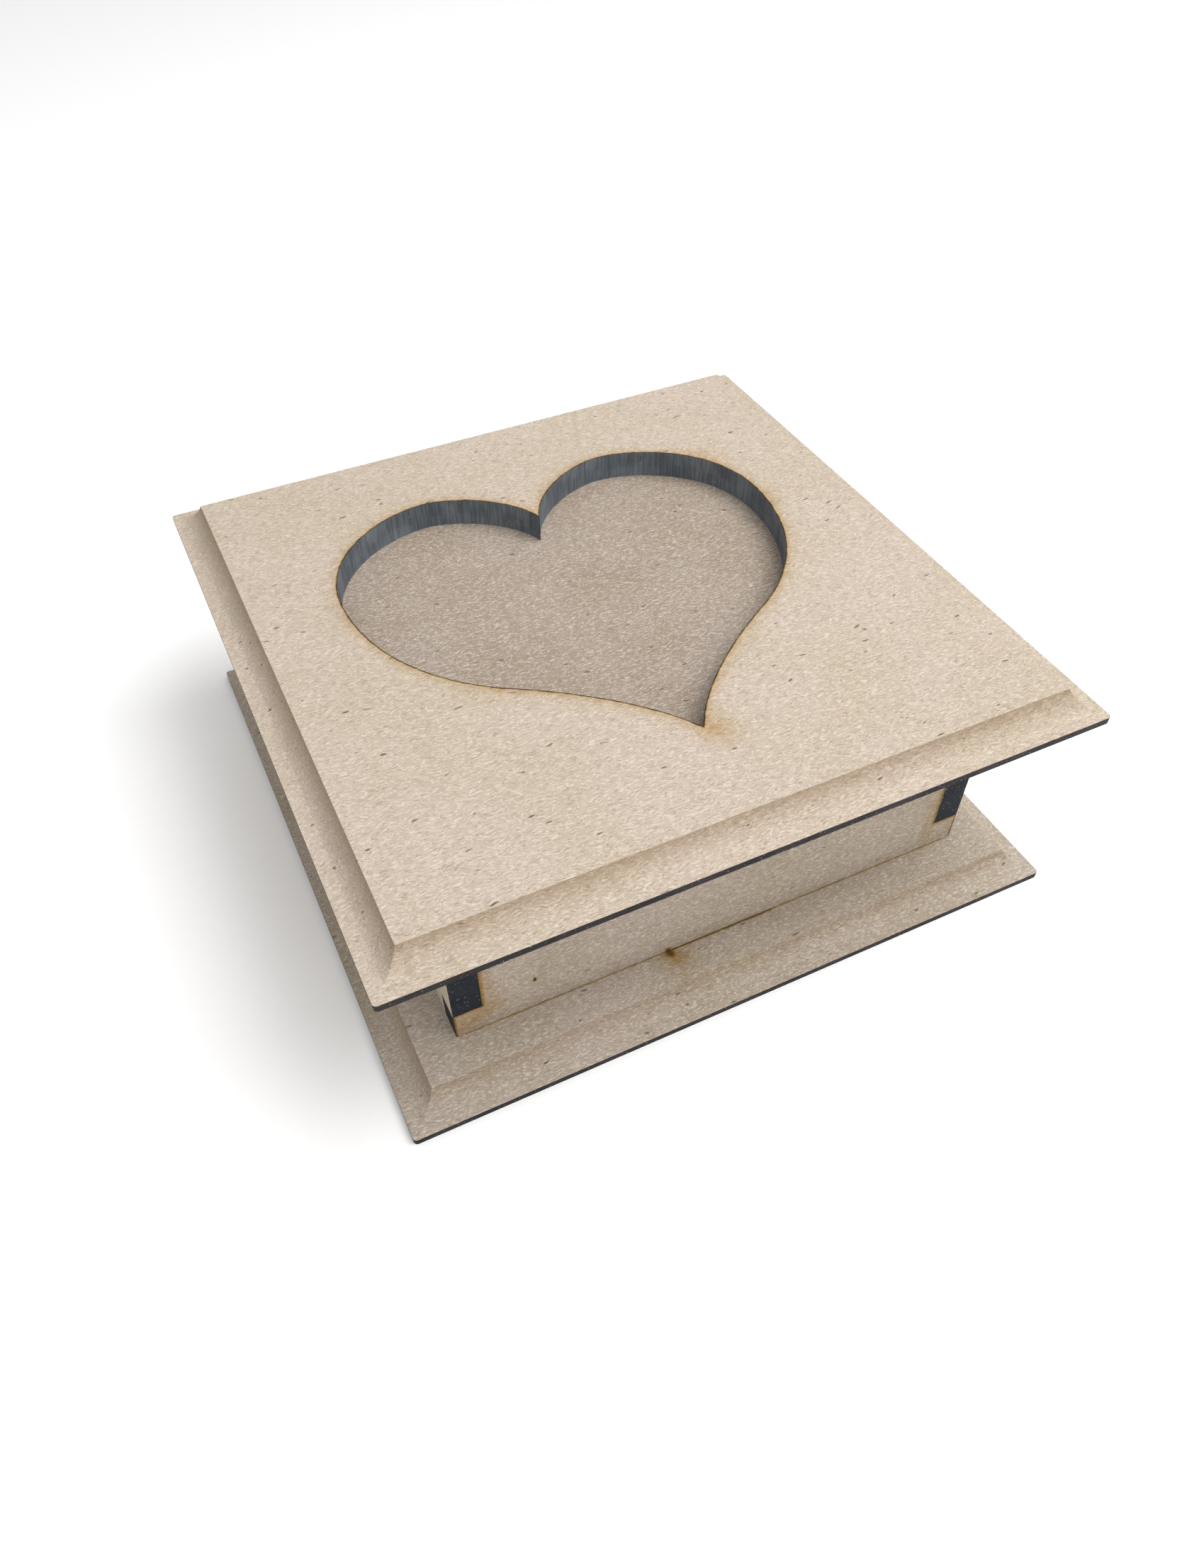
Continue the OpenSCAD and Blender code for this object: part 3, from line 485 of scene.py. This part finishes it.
# ---------------------------------------------------------------- bedplate and cage
# The movement's frame: a bedplate with its comb block and pillars, and the cage that
# carries the cylinder's end and the governor. Zinc alloy, die-cast and tumbled matt.
def worked_metal(name, tones, roughness, lines, along=None, depth=0.02):
    """A metal with two tones of patina, its surface marked by lines this many millimetres
    apart: drawn out along an axis where it was ground or turned, even where it was cast."""
    metal = finish(name, roughness, metallic=1.0)
    place = add(metal, "ShaderNodeTexCoord", {})["Object"]
    scale = [1000 / lines] * 3
    if along is not None:
        scale[along] /= 20
    marks = add(metal, "ShaderNodeMapping", {"Vector": place, "Scale": scale})[0]
    marks = add(metal, "ShaderNodeTexNoise", {"Vector": marks, "Scale": 1, "Detail": 3})[0]
    patina = add(metal, "ShaderNodeTexNoise", {"Vector": place, "Scale": 1000 / 4, "Detail": 3})[0]
    colour = add(metal, "ShaderNodeMix", {0: patina, 6: tones[0], 7: tones[1]}, **rgb)[2]
    rough = add(metal, "ShaderNodeMapRange", {
        "Value": marks, "From Min": 0.3, "From Max": 0.7,
        "To Min": roughness * 0.75, "To Max": roughness * 1.3})[0]
    relief = add(metal, "ShaderNodeBump", {
        "Strength": 0.4, "Distance": depth * mm, "Height": marks})[0]
    add(metal, "shader", {"Base Color": colour, "Roughness": rough, "Normal": relief})
    return metal


cast_zinc = worked_metal("die_cast_zinc", ("#b9bbbd", "#a4a7aa"), 0.42, 0.35, depth=0.03)
for node, name in (("bedplate", "cast_bedplate"), ("governor_cage", "cast_governor_cage")):
    make_piece(name, merged(node), [cast_zinc], node, "case", 0.15)

# ---------------------------------------------------------------- bridge, comb and screws
# A stamped steel bridge over the barrel, screws of turned steel, and the comb: eighteen
# teeth sawn in one piece of ground spring steel, blued by its hardening.
turned_steel = worked_metal("turned_bright_steel", ("#c9cbcd", "#b1b4b7"), 0.26, 0.12)
blued_steel = worked_metal("ground_spring_steel", ("#8a929d", "#6d7683"), 0.30, 0.14, along=2)
for node, edge in (
    ("movement_screws", 0.12), ("comb_screws", 0.08), ("bridge_screws", 0.08),
    ("cage_screws", 0.08), ("barrel_bridge", 0.12), ("click_stud", 0.05), ("stop_lever_pin", 0.04),
):
    make_piece("steel_" + node, merged(node), [turned_steel], node, "case", edge)
for node, name in (("comb", "tuned_comb"), ("click_spring", "wire_click_spring")):
    make_piece(name, merged(node), [blued_steel], node, "case", 0.03)

# ---------------------------------------------------------------- barrel
# The mainspring in its brass drum, closed by the stamped crown wheel that drives the
# cylinder. The spring is a strip of blued steel wound from the arbor to the drum.
brass = worked_metal("turned_brass", ("#d9bd80", "#bd9b5f"), 0.27, 0.12)
for node, name, metal, slot, edge in (
    ("barrel_drum", "brass_drum", brass, "brass", 0.1),
    ("crown_wheel", "brass_crown_wheel", brass, "brass", 0.04),
    ("mainspring", "coiled_mainspring", blued_steel, "spring_steel", 0.03),
):
    make_piece(name, merged(node), [metal], node, "barrel", edge)

# ---------------------------------------------------------------- winding work
# The key and its arbor of bright steel, the brass ratchet wheel that it turns, and the
# click that drops between the ratchet's teeth and holds what has been wound.
for node, name, metal, body, slot, edge in (
    ("winding_arbor", "steel_arbor", turned_steel, "winder", "steel", 0.08),
    ("winding_key", "steel_key", turned_steel, "winder", "steel", 0.15),
    ("ratchet_wheel", "brass_ratchet", brass, "winder", "brass", 0.04),
    ("click", "steel_click", turned_steel, "click", "steel", 0.05),
):
    make_piece(name, merged(node), [metal], node, body, edge)

# ---------------------------------------------------------------- cylinder
# The brass cylinder with its rows of pins, on its steel arbor between the brass pinion
# that the barrel drives and the wheel that drives the governor.
for node, name, metal, slot, edge in (
    ("music_cylinder", "pinned_cylinder", brass, "brass", 0.03),
    ("cylinder_arbor", "steel_cylinder_arbor", turned_steel, "steel", 0.06),
    ("drive_pinion", "brass_drive_pinion", brass, "brass", 0.04),
    ("cylinder_wheel", "brass_end_wheel", brass, "brass", 0.04),
):
    make_piece(name, merged(node), [metal], node, "cylinder", edge)

# ---------------------------------------------------------------- governor
# A pinion and worm wheel of brass, the steel worm shaft that it spins, the nylon fly that
# the air holds back, and the steel lever that stops the shaft by its collar.
nylon = finish("moulded_nylon", 0.42, 0.45)
place = add(nylon, "ShaderNodeTexCoord", {})["Object"]
flow = add(nylon, "ShaderNodeTexNoise", {"Vector": place, "Scale": 1000 / 1.5, "Detail": 2})[0]
tone = add(nylon, "ShaderNodeMix", {0: flow, 6: "#e8e6df", 7: "#d9d6cc"}, **rgb)[2]
skin = add(nylon, "ShaderNodeBump", {"Strength": 0.2, "Distance": 0.02 * mm, "Height": flow})[0]
add(nylon, "shader", {
    "Base Color": tone, "Normal": skin, "Subsurface Weight": 0.1, "Subsurface Scale": 0.5 * mm})
for node, name, stuff, body, slot, edge in (
    ("governor_pinion", "brass_governor_pinion", brass, "governor", "brass", 0.03),
    ("worm_wheel", "brass_worm_wheel", brass, "governor", "brass", 0.03),
    ("worm_shaft", "steel_worm_shaft", turned_steel, "air_brake", "steel", 0.02),
    ("fly", "nylon_fly", nylon, "air_brake", "plastic", 0.05),
    ("stop_lever", "steel_stop_lever", turned_steel, "stop_lever", "steel", 0.05),
):
    make_piece(name, merged(node), [stuff], node, body, edge)
